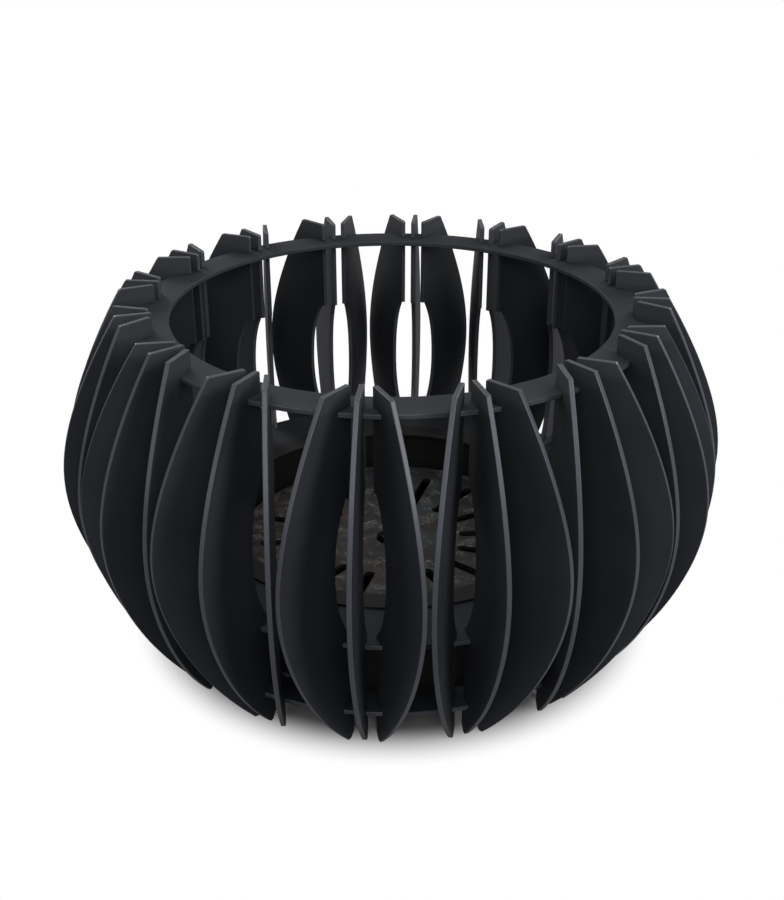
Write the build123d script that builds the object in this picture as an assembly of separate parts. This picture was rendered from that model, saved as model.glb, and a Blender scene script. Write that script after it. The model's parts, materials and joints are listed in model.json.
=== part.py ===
from build123d import *
from math import asin, cos, degrees, radians, sin, sqrt
import os

os.makedirs("parts", exist_ok=True)

# A round fire pit made of flat steel plates. Sixteen fans of three upright
# fins stand in a circle and carry three flat rings in half-lap slots. A
# lift-out fire bowl hangs in the middle ring and holds a loose grate.
# The origin is the centre of the circle on the ground. +Z is up, and the
# first fan faces -Y. Lengths are millimetres, angles are degrees.

# Plates and their play
FIN_PLATE = 6.0
RING_PLATE = 6.0
SHEET = 3.0
EDGE_ROUND = 1.0
SLOT_SIDE_PLAY = 0.3
SLOT_TOP_PLAY = 0.6

# Rings: outer radius, widths, and heights of their tops
RING_OUTER_RADIUS = 330.0
TOP_RING_WIDTH = 47.0
MIDDLE_RING_WIDTH = 89.0
BASE_RING_WIDTH = 40.0
TOP_RING_DROP = 24.3
MIDDLE_RING_LEVEL = 146.6
BASE_RING_LEVEL = 51.3

# Fans: how far a fin's lower tabs reach inside the rings' rim, how far apart
# a fan's fins stand there, and the gap between the bulges of two fans
FANS = 16
MIDDLE_FIN_BITE = 22.0
SIDE_FIN_BITE = 19.2
SIDE_FIN_OFFSET = 15.9
FAN_GAP = 3.2

# A fin's outer edge. Reach is measured outward from the lower tabs' inner
# edge, and the second number of a pair is a share of the fin's height.
FIN_HEIGHT = 464.1
TOP_REACH = 40.7
SHOULDER = (92.6, 0.797)
BULGE = (123.6, 0.539)
FLANK = (102.0, 0.312)
CALF = (58.0, 0.129)
TOE_REACH = 11.0
HEEL_REACH = 6.0
HEEL_HEIGHT = 9.0
TOP_CORNER_ROUND = 2.5

# A fin's inner edge. The second number of a pair is a share of the way up
# the crescent between the lower tabs and the upper one.
UPPER_TAB_LENGTH = 127.1
UPPER_TAB_OVERHANG = 3.5
NOTCH_REACH = 4.5
CRESCENT_UPPER = (22.5, 0.789)
CRESCENT_DEEPEST = (28.8, 0.531)
CRESCENT_LOWER = (24.8, 0.262)
WINDOW_REACH = 5.0

# Fire bowl
BOWL_PLAY = 3.0
BOWL_FLANGE_LAP = 14.0
BOWL_FLANGE_LIP = 10.0
BOWL_CLEARANCE = 8.0
DRAIN_HOLE_RADIUS = 6.0
DRAIN_HOLES = 6
DRAIN_CIRCLE_RADIUS = 120.0

# Grate and its stand
GRATE_PLATE = 6.0
GRATE_RIM_PLAY = 7.0
GRATE_STAND_HEIGHT = 80.0
GRATE_STAND_INSET = 30.0
GRATE_BORDER = 33.0
GRATE_SLOT_WIDTH = 14.0
GRATE_SLOT_LENGTH = 90.0
GRATE_SLOTS = 16
GRATE_EYE_RADIUS = 22.0

# Where the pieces meet
TOP_RING_LEVEL = FIN_HEIGHT - TOP_RING_DROP
MIDDLE_RING_BORE = RING_OUTER_RADIUS - MIDDLE_RING_WIDTH
BOWL_WALL_RADIUS = MIDDLE_RING_BORE - BOWL_PLAY
BOWL_INNER_RADIUS = BOWL_WALL_RADIUS - SHEET
BOWL_MOUTH_RADIUS = BOWL_INNER_RADIUS - BOWL_FLANGE_LIP
BOWL_FLOOR_TOP = BOWL_CLEARANCE + SHEET
GRATE_RADIUS = BOWL_MOUTH_RADIUS - GRATE_RIM_PLAY

# Long enough to cut right through any plate
THROUGH = 40.0


def side_splay():
    """How far a fan's outer fins turn away from its middle fin."""
    half = radians(180 / FANS)
    radius = RING_OUTER_RADIUS - SIDE_FIN_BITE
    room = radius * sin(half) - SIDE_FIN_OFFSET * cos(half) - (FIN_PLATE + FAN_GAP) / 2
    return degrees(half + asin(room / BULGE[0]))


def rim_reach(radius, offset, splay):
    """Reach along a fin at which it leaves the rim of the rings."""
    along = radius * cos(radians(splay)) + offset * sin(radians(splay))
    beyond = radius**2 + offset**2 - RING_OUTER_RADIUS**2
    return sqrt(along**2 - beyond) - along


def lap_reach(tab_reach, fin_place):
    """Reach at which a fin's slot ends and the ring's slot begins."""
    return (tab_reach + rim_reach(*fin_place)) / 2


# Each fin of a fan: radius, sideways offset and splay of its inner edge
FIN_PLACES = {
    "left": (RING_OUTER_RADIUS - SIDE_FIN_BITE, -SIDE_FIN_OFFSET, -side_splay()),
    "middle": (RING_OUTER_RADIUS - MIDDLE_FIN_BITE, 0.0, 0.0),
    "right": (RING_OUTER_RADIUS - SIDE_FIN_BITE, SIDE_FIN_OFFSET, side_splay()),
}

# Each ring: level of its top, bore, and reach of the fins' tabs at it
RINGS = {
    "top_ring": (TOP_RING_LEVEL, RING_OUTER_RADIUS - TOP_RING_WIDTH, -UPPER_TAB_OVERHANG),
    "middle_ring": (MIDDLE_RING_LEVEL, MIDDLE_RING_BORE, 0.0),
    "base_ring": (BASE_RING_LEVEL, RING_OUTER_RADIUS - BASE_RING_WIDTH, 0.0),
}


def fin_location(fan, fin_place):
    """Where a fin modelled along +X stands in its fan."""
    radius, offset, splay = fin_place
    heading = fan * 360 / FANS - 90
    return Rot(0, 0, heading) * Pos(radius, offset, 0) * Rot(0, 0, splay)


def soften(solid, faces):
    """Round the edges of the given faces as blasting and coating leave them."""
    return fillet(faces.edges(), EDGE_ROUND)


def between(low, high, pair):
    """A point at the pair's reach, and at its share of the way from low to high."""
    return (pair[0], low + (high - low) * pair[1])


def fin_blank():
    """A fin's plate before its slots are cut, standing along +X."""
    outer = [between(0, FIN_HEIGHT, pair) for pair in (CALF, FLANK, BULGE, SHOULDER)]
    toe = (TOE_REACH, 0)
    top_outer = (TOP_REACH, FIN_HEIGHT)
    top_inner = (-UPPER_TAB_OVERHANG, FIN_HEIGHT)
    tab_foot = (-UPPER_TAB_OVERHANG, FIN_HEIGHT - UPPER_TAB_LENGTH)
    notch = (NOTCH_REACH, FIN_HEIGHT - UPPER_TAB_LENGTH)
    neck = (0, MIDDLE_RING_LEVEL + SLOT_TOP_PLAY)
    crescent = [between(neck[1], notch[1], pair)
                for pair in (CRESCENT_UPPER, CRESCENT_DEEPEST, CRESCENT_LOWER)]
    window_top = (WINDOW_REACH, MIDDLE_RING_LEVEL - RING_PLATE)
    window_foot = (WINDOW_REACH, BASE_RING_LEVEL + SLOT_TOP_PLAY)
    ankle = (0, BASE_RING_LEVEL - RING_PLATE)
    heel_top = (0, HEEL_HEIGHT)
    heel = (HEEL_REACH, 0)
    outline = [
        Spline(toe, *outer, top_outer),
        Polyline(top_outer, top_inner, tab_foot, notch),
        Spline(notch, *crescent, neck),
        Polyline(neck, window_top, window_foot, ankle, heel_top, heel, toe),
    ]
    face = make_face(outline)
    top_corners = face.vertices().group_by(Axis.Y)[-1]
    face = fillet(top_corners, TOP_CORNER_ROUND)
    plate = extrude(Plane.XZ * face, FIN_PLATE / 2, both=True)
    return soften(plate, plate.faces().filter_by(Plane.XZ))


def fin(blank, fin_place):
    """A finished fin: its three slots open towards the fire."""
    slots = []
    for level, bore, tab_reach in RINGS.values():
        end = lap_reach(tab_reach, fin_place)
        floor = level - RING_PLATE
        slot = Box(THROUGH, THROUGH, RING_PLATE + SLOT_TOP_PLAY,
                   align=(Align.MAX, Align.CENTER, Align.MIN))
        slots.append(Pos(end, 0, floor) * slot)
    return blank - slots


def ring(level, bore, tab_reach):
    """A flat ring with a slot in its rim for every fin."""
    flat = Cylinder(RING_OUTER_RADIUS, RING_PLATE) - Cylinder(bore, THROUGH)
    flat = soften(flat, flat.faces().filter_by(Plane.XY))
    slot = Box(THROUGH, FIN_PLATE + 2 * SLOT_SIDE_PLAY, THROUGH,
               align=(Align.MIN, Align.CENTER, Align.CENTER))
    slots = []
    for fan in range(FANS):
        for place in FIN_PLACES.values():
            start = Pos(lap_reach(tab_reach, place), 0, 0)
            slots.append(fin_location(fan, place) * start * slot)
    return Pos(0, 0, level - RING_PLATE / 2) * (flat - slots)


def tube(outer, inner, foot, height):
    """An upright pipe, washer or band that starts at the level foot."""
    body = Cylinder(outer, height) - Cylinder(inner, 2 * height)
    return Pos(0, 0, foot + height / 2) * body


def bowl_flange():
    """The bowl's rim, which hangs on the middle ring."""
    outer = MIDDLE_RING_BORE + BOWL_FLANGE_LAP
    return tube(outer, BOWL_MOUTH_RADIUS, MIDDLE_RING_LEVEL, SHEET)


def bowl_wall():
    """The rolled band between the bowl's rim and its floor."""
    height = MIDDLE_RING_LEVEL - BOWL_CLEARANCE
    return tube(BOWL_WALL_RADIUS, BOWL_INNER_RADIUS, BOWL_CLEARANCE, height)


def bowl_floor():
    """The bowl's bottom disc, with holes that let rain water out."""
    disc = Cylinder(BOWL_INNER_RADIUS, SHEET)
    hole = Cylinder(DRAIN_HOLE_RADIUS, THROUGH)
    circle = PolarLocations(DRAIN_CIRCLE_RADIUS, DRAIN_HOLES)
    disc = disc - hole - [place * hole for place in circle]
    return Pos(0, 0, BOWL_CLEARANCE + SHEET / 2) * disc


def grate_disc():
    """The loose grate: radial slots round a middle hole."""
    slot = extrude(SlotOverall(GRATE_SLOT_LENGTH, GRATE_SLOT_WIDTH), THROUGH / 2, both=True)
    slot_circle = GRATE_RADIUS - GRATE_BORDER - GRATE_SLOT_LENGTH / 2
    circle = PolarLocations(slot_circle, GRATE_SLOTS, start_angle=180 / GRATE_SLOTS)
    disc = Cylinder(GRATE_RADIUS, GRATE_PLATE) - Cylinder(GRATE_EYE_RADIUS, THROUGH)
    disc = disc - [place * slot for place in circle]
    return Pos(0, 0, BOWL_FLOOR_TOP + GRATE_STAND_HEIGHT + GRATE_PLATE / 2) * disc


def grate_stand(turn, lap_side):
    """One of two crossed plates under the grate, halved where they cross."""
    plate = Box(2 * (GRATE_RADIUS - GRATE_STAND_INSET), GRATE_PLATE, GRATE_STAND_HEIGHT)
    lap = Box(GRATE_PLATE + 2 * SLOT_SIDE_PLAY, THROUGH, GRATE_STAND_HEIGHT / 2)
    plate = plate - Pos(0, 0, lap_side * GRATE_STAND_HEIGHT / 4) * lap
    return Pos(0, 0, BOWL_FLOOR_TOP + GRATE_STAND_HEIGHT / 2) * Rot(0, 0, turn) * plate


def save(name, shape):
    """Write one sub-part."""
    export_step(shape, f"parts/{name}.step")


# Fins
blank = fin_blank()
for side, place in FIN_PLACES.items():
    finished = fin(blank, place)
    for fan in range(FANS):
        save(f"fin_{fan + 1:02d}_{side}", fin_location(fan, place) * finished)

# Rings
for name, sizes in RINGS.items():
    save(name, ring(*sizes))

# Fire bowl
save("bowl_flange", bowl_flange())
save("bowl_wall", bowl_wall())
save("bowl_floor", bowl_floor())

# Grate, which crosses its stand plates on the lines between the first fans
save("grate_disc", grate_disc())
save("grate_stand_lower", grate_stand(45, 1))
save("grate_stand_upper", grate_stand(-45, -1))
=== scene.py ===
import json
import math

import bpy
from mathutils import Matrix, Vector


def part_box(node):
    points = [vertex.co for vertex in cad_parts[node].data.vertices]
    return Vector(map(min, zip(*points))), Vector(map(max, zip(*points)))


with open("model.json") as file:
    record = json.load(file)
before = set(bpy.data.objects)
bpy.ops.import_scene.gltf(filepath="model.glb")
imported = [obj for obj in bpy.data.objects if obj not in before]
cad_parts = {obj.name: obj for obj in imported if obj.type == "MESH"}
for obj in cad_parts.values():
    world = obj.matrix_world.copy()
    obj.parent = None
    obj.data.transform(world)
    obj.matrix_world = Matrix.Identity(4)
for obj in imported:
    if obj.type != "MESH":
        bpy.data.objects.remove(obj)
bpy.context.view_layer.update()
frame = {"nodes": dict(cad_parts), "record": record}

# Lengths are metres and angles are degrees, unless a name says otherwise. The first
# fan of fins faces -Y. Radii are measured from the fire pit's upright middle line.

# The photograph's viewpoint, found by fitting the fins' outlines to it
CAMERA_SIDE_TURN = 5.93
CAMERA_RADIUS = 1.4818
CAMERA_HEIGHT = 0.9737
AIM_HEIGHT = 0.2343
FOCAL_LENGTH_MM = 48.72
SENSOR_WIDTH_MM = 36
NEAREST_SEEN = 0.01

# Surround and floor: how bright they are, and the radii between which the shadow on
# the floor gives way to white
AMBIENT = 0.35
FLOOR_LEVEL = 0.22
FLOOR_ROUGHNESS = 0.9
FLOOR_REACH = 6.0
WHITE_IN_REFLECTIONS = 0.10
SHADOW_RADII = (0.291, 0.370)

# Lamps, which all point at the same spot: place, width, height and watts
LAMP_AIM = (0, 0, 0.25)
LAMPS = {
    "overhead": ((0.0, 0.1, 2.6), 2.6, 2.6, 17),
    "front": ((0.25, -2.8, 1.9), 1.8, 1.4, 36),
    "left_front": ((-2.4, -1.9, 1.5), 1.6, 2.0, 16),
    "right_front": ((2.4, -1.6, 1.8), 1.2, 1.6, 62),
    "left_back": ((-2.2, 2.1, 1.6), 1.6, 1.6, 38),
    "right_back": ((2.0, 2.3, 1.6), 1.6, 1.6, 38),
}

# Where the black coating changes: an effect is absent at the first number of a pair
# and full at the second. Level faces above the top ring are the fins' cut ends.
RING_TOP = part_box("top_ring")[1].z
LEVEL_SIDES_CEILING = (RING_TOP + 0.002, RING_TOP + 0.001)
SOOT_CEILING = (RING_TOP + 0.003, RING_TOP + 0.001)
SOOT_HEIGHTS = (0.10, 0.20)
SOOT_RADII = (0.345, 0.298)
# Painted light: the fin tops above the top ring, towards the inside, are made paler
TOP_LIGHT_HEIGHTS = (RING_TOP + 0.001, RING_TOP + 0.012)
TOP_LIGHT_RADII = (0.395, 0.345)
DUST_HEIGHTS = (0.035, 0.0)

# Where bare steel changes from soot and painted shade to heat tints, which is at the bore of the bowl's
# flange
BOWL_MOUTH = 0.225
MOUTH_RADII = (BOWL_MOUTH + 0.004, BOWL_MOUTH - 0.004)

# How directly a surface faces a way, in pairs like those above: 1 is straight at it
FACES_ALONG_RING = (0.60, 0.80)
FACES_UP_OR_DOWN = (0.85, 0.95)
FACES_UP = (0.3, 0.8)

# The share of the colour under it that each effect hides where it is full
TOP_LIGHT_COVER = 0.45
SOOT_COVER = 0.70
DUST_COVER = 0.25
ASH_COVER = 0.80


class Wiring:
    """The node tree of a material or of the surround."""

    def __init__(self, tree):
        self.tree = tree

    def node(self, kind, settings, inputs, output=0):
        """Any node: its settings come first, then its sockets' values or links."""
        made = self.tree.nodes.new(kind)
        for name, setting in settings.items():
            setattr(made, name, setting)
        for name, given in inputs.items():
            self.feed(made.inputs[name], given)
        return Value(self, made.outputs[output])

    def feed(self, socket, given):
        """Give a socket a link where a Value is given, or else a plain number or colour."""
        if isinstance(given, Value):
            self.tree.links.new(given.socket, socket)
        else:
            socket.default_value = given


class Value:
    """A number, colour or vector in a node tree, used in plain arithmetic."""

    def __init__(self, wiring, socket):
        self.wiring = wiring
        self.socket = socket

    def math(self, operation, *operands):
        """A Math node on its operands, in their order."""
        return self.wiring.node("ShaderNodeMath", {"operation": operation}, dict(enumerate(operands)))

    def __add__(self, other):
        return self.math("ADD", self, other)

    def __radd__(self, other):
        return self.math("ADD", other, self)

    def __sub__(self, other):
        return self.math("SUBTRACT", self, other)

    def __rsub__(self, other):
        return self.math("SUBTRACT", other, self)

    def __mul__(self, other):
        return self.math("MULTIPLY", self, other)

    def __rmul__(self, other):
        return self.math("MULTIPLY", other, self)

    def __truediv__(self, other):
        return self.math("DIVIDE", self, other)

    def __abs__(self):
        return self.math("ABSOLUTE", self)

    def root(self):
        """The square root."""
        return self.math("SQRT", self)

    def greater(self, other):
        """The greater of two numbers."""
        return self.math("MAXIMUM", self, other)

    def ramp(self, absent, full):
        """0 up to one number, 1 past the other and smooth between, rising or falling."""
        inputs = {"Value": self, "From Min": absent, "From Max": full}
        return self.wiring.node("ShaderNodeMapRange", {"interpolation_type": "SMOOTHSTEP"}, inputs)

    def blend(self, first, second):
        """The first colour where this is 0 and the second where it is 1."""
        share, first_colour, second_colour, mixed_colour = 0, 6, 7, 2
        inputs = {share: self, first_colour: first, second_colour: second}
        return self.wiring.node("ShaderNodeMix", {"data_type": "RGBA"}, inputs, mixed_colour)


class Finish(Wiring):
    """A material with a Principled shader, and what its finish is worked out from."""

    def __init__(self, name):
        self.material = bpy.data.materials.new(name)
        self.material.use_nodes = True
        super().__init__(self.material.node_tree)
        self.shader = self.tree.nodes["Principled BSDF"]
        self.place = self.node("ShaderNodeTexCoord", {}, {}, "Object")
        self.x, self.y, self.z = self.parts(self.place)
        self.radius = (self.x * self.x + self.y * self.y).root()
        self.facing = self.node("ShaderNodeTexCoord", {}, {}, "Normal")

    def set(self, name, given):
        """Give one of the shader's sockets a number, colour or link."""
        self.feed(self.shader.inputs[name], given)

    def parts(self, vector):
        """The three numbers of a vector."""
        return [self.node("ShaderNodeSeparateXYZ", {}, {"Vector": vector}, axis) for axis in "XYZ"]

    def noise(self, size, detail, roughness=0.5):
        """Soft noise from 0 to 1 with blotches of about the given size."""
        inputs = {"Vector": self.place, "Scale": 1 / size, "Detail": detail, "Roughness": roughness}
        return self.node("ShaderNodeTexNoise", {}, inputs)

    def flat_sides(self):
        """1 on the plates' flat sides, upright or level, and 0 on their cut edges."""
        across, along, up = self.parts(self.facing)
        along_ring = (along * self.x - across * self.y) / self.radius
        upright = abs(along_ring).ramp(*FACES_ALONG_RING)
        level = abs(up).ramp(*FACES_UP_OR_DOWN) * self.z.ramp(*LEVEL_SIDES_CEILING)
        return upright.greater(level)

    def upper_sides(self):
        """1 on what faces up and 0 on what doesn't."""
        _, _, up = self.parts(self.facing)
        return up.ramp(*FACES_UP)

    def relief(self, heights, depth):
        """Bump of the given depth from heights between 0 and 1."""
        bump = self.node("ShaderNodeBump", {}, {"Height": heights, "Distance": depth, "Strength": 1.0})
        self.set("Normal", bump)


def grey(level, tint=(1, 1, 1)):
    """A neutral colour with a slight tint."""
    return (level * tint[0], level * tint[1], level * tint[2], 1)


def black_coating():
    """Satin black heat-proof coating, sooty on the inner side, with a painted highlight that makes the cut
    edges paler and painted light that makes the fin tops above the top ring paler.
    """
    finish = Finish("black_coating")
    bluish = (0.90, 0.97, 1.15)
    sooty = (0.89, 0.97, 1.13)
    faint_blue = (0.95, 1.0, 1.06)
    earthy = (1.12, 1.0, 0.92)
    sheen = (0.80, 0.90, 1.0)

    cloud = finish.noise(size=0.11, detail=4)
    grain = finish.noise(size=0.0011, detail=2)
    orange_peel = finish.noise(size=0.0035, detail=1)
    patches = cloud.ramp(0.30, 0.72)
    flat = finish.flat_sides()
    soot = finish.radius.ramp(*SOOT_RADII) * finish.z.ramp(*SOOT_HEIGHTS) * finish.z.ramp(*SOOT_CEILING)
    # Painted light: paler fin tops above the top ring
    top_light = finish.z.ramp(*TOP_LIGHT_HEIGHTS) * finish.radius.ramp(*TOP_LIGHT_RADII)
    dust = finish.z.ramp(*DUST_HEIGHTS) * cloud.ramp(0.40, 0.68)

    sides = patches.blend(grey(0.0200, bluish), grey(0.0255, bluish))
    sides = (TOP_LIGHT_COVER * top_light).blend(sides, grey(0.0420, faint_blue))
    # Painted highlight: the cut edges get a paler colour than the flat sides
    edges = patches.blend(grey(0.0420, bluish), grey(0.0540, bluish))
    colour = (SOOT_COVER * soot).blend(flat.blend(edges, sides), grey(0.0140, sooty))
    colour = (DUST_COVER * dust).blend(colour, grey(0.0500, earthy))
    finish.set("Base Color", colour)
    finish.set("Roughness", 0.36 + 0.10 * cloud + 0.05 * grain + 0.08 * flat + 0.20 * soot + 0.15 * dust)
    finish.set("Specular IOR Level", 0.22)
    finish.set("Specular Tint", grey(1.0, sheen))
    finish.set("Coat Weight", 0.22 * (1 - flat) * (1 - 0.6 * soot))
    finish.set("Coat Roughness", 0.24)
    finish.relief(0.55 * grain + 0.45 * orange_peel, depth=0.00009)
    return finish.material


def fired_steel():
    """Bare steel black with soot, and outside the bowl's mouth also painted shade, with heat tints and ash
    inside the mouth, most on upper sides.
    """
    finish = Finish("fired_steel")
    neutral = (1.0, 1.0, 1.02)
    brown = (1.08, 1.0, 0.92)
    straw = (1.28, 1.0, 0.78)
    blue = (0.92, 1.0, 1.14)
    ashen = (1.0, 0.98, 0.94)

    cloud = finish.noise(size=0.07, detail=5, roughness=0.60)
    tint = finish.noise(size=0.16, detail=3, roughness=0.55)
    speck = finish.noise(size=0.0032, detail=3)
    flecks = finish.noise(size=0.020, detail=6, roughness=0.70)
    up = finish.upper_sides()
    inside = finish.radius.ramp(*MOUTH_RADII)
    ash = flecks.ramp(0.47, 0.66) * speck.ramp(0.38, 0.60) * up * inside

    # The near-black colour is soot; outside the bowl's mouth it is also painted shade, for the bowl's
    # outside in the shade of the fins and rings
    soot = cloud.ramp(0.30, 0.70).blend(grey(0.0032, neutral), grey(0.0060, brown))
    heat = tint.ramp(0.42, 0.58).blend(grey(0.0230, straw), grey(0.0250, blue))
    fired = cloud.ramp(0.35, 0.62).blend(grey(0.0130, brown), heat)
    colour = (inside * (0.35 + 0.65 * up)).blend(soot, fired)
    finish.set("Base Color", (ASH_COVER * ash).blend(colour, grey(0.15, ashen)))
    finish.set("Metallic", 0.15)
    finish.set("Roughness", 0.50 + 0.25 * cloud + 0.15 * ash)
    finish.set("Specular IOR Level", 0.35)
    finish.relief(0.6 * speck + 0.4 * flecks, depth=0.00028)
    return finish.material


def coat(nodes, material):
    """Give CAD nodes a finish."""
    for node in nodes:
        piece = frame["nodes"][node]
        piece.data.materials.clear()
        piece.data.materials.append(material)


def floor_white():
    """The floor's material, which the camera sees as white but for the shadow close to the feet."""
    finish = Finish("floor_white")
    finish.set("Base Color", grey(FLOOR_LEVEL))
    finish.set("Roughness", FLOOR_ROUGHNESS)
    finish.set("Specular IOR Level", 0.0)
    lit = Value(finish, finish.shader.outputs["BSDF"])
    white = finish.node("ShaderNodeEmission", {}, {"Color": grey(1), "Strength": 1.0})
    seen = finish.node("ShaderNodeLightPath", {}, {}, "Is Camera Ray")
    mirrored = finish.node("ShaderNodeLightPath", {}, {}, "Is Glossy Ray")
    share = (seen + WHITE_IN_REFLECTIONS * mirrored) * finish.radius.ramp(*SHADOW_RADII)
    mixed = finish.node("ShaderNodeMixShader", {}, dict(enumerate([share, lit, white])))
    finish.feed(finish.tree.nodes["Material Output"].inputs["Surface"], mixed)
    return finish.material


def pale_floor():
    """A level square under the feet."""
    low, high = -FLOOR_REACH, FLOOR_REACH
    corners = [(low, low, 0), (high, low, 0), (high, high, 0), (low, high, 0)]
    mesh = bpy.data.meshes.new("floor")
    mesh.from_pydata(corners, [], [(0, 1, 2, 3)])
    mesh.materials.append(floor_white())
    floor = bpy.data.objects.new("floor", mesh)
    bpy.context.scene.collection.objects.link(floor)


def white_surround():
    """Soft, even light from all round, which the camera sees as white."""
    world = bpy.data.worlds.new("studio")
    bpy.context.scene.world = world
    world.use_nodes = True
    wiring = Wiring(world.node_tree)
    seen = wiring.node("ShaderNodeLightPath", {}, {}, "Is Camera Ray")
    back = wiring.tree.nodes["Background"]
    wiring.feed(back.inputs["Strength"], seen.greater(AMBIENT))
    wiring.feed(back.inputs["Color"], grey(1))


def set_up(name, data, place, aim):
    """Put a lamp or camera at its place, pointing at a spot."""
    made = bpy.data.objects.new(name, data)
    bpy.context.scene.collection.objects.link(made)
    made.location = place
    made.rotation_mode = "QUATERNION"
    made.rotation_quaternion = (Vector(aim) - Vector(place)).to_track_quat("-Z", "Y")
    return made


def lamps():
    """Big soft lights overhead, behind the camera, to each side of it and behind the fire pit."""
    for name, (place, width, height, watts) in LAMPS.items():
        data = bpy.data.lights.new(name, "AREA")
        data.shape = "RECTANGLE"
        data.size = width
        data.size_y = height
        data.energy = watts
        set_up(name, data, place, LAMP_AIM)


def camera():
    """The photograph's view."""
    data = bpy.data.cameras.new("camera")
    data.lens = FOCAL_LENGTH_MM
    data.sensor_width = SENSOR_WIDTH_MM
    data.clip_start = NEAREST_SEEN
    turn = math.radians(CAMERA_SIDE_TURN)
    place = (CAMERA_RADIUS * math.sin(turn), -CAMERA_RADIUS * math.cos(turn), CAMERA_HEIGHT)
    bpy.context.scene.camera = set_up("camera", data, place, (0, 0, AIM_HEIGHT))


bodies = frame["record"]["behaviour"]["bodies"]
coat(bodies["frame"], black_coating())
coat(bodies["fire_bowl"] + bodies["grate"], fired_steel())

pale_floor()
white_surround()
lamps()
camera()
bpy.context.scene.view_settings.view_transform = "Standard"
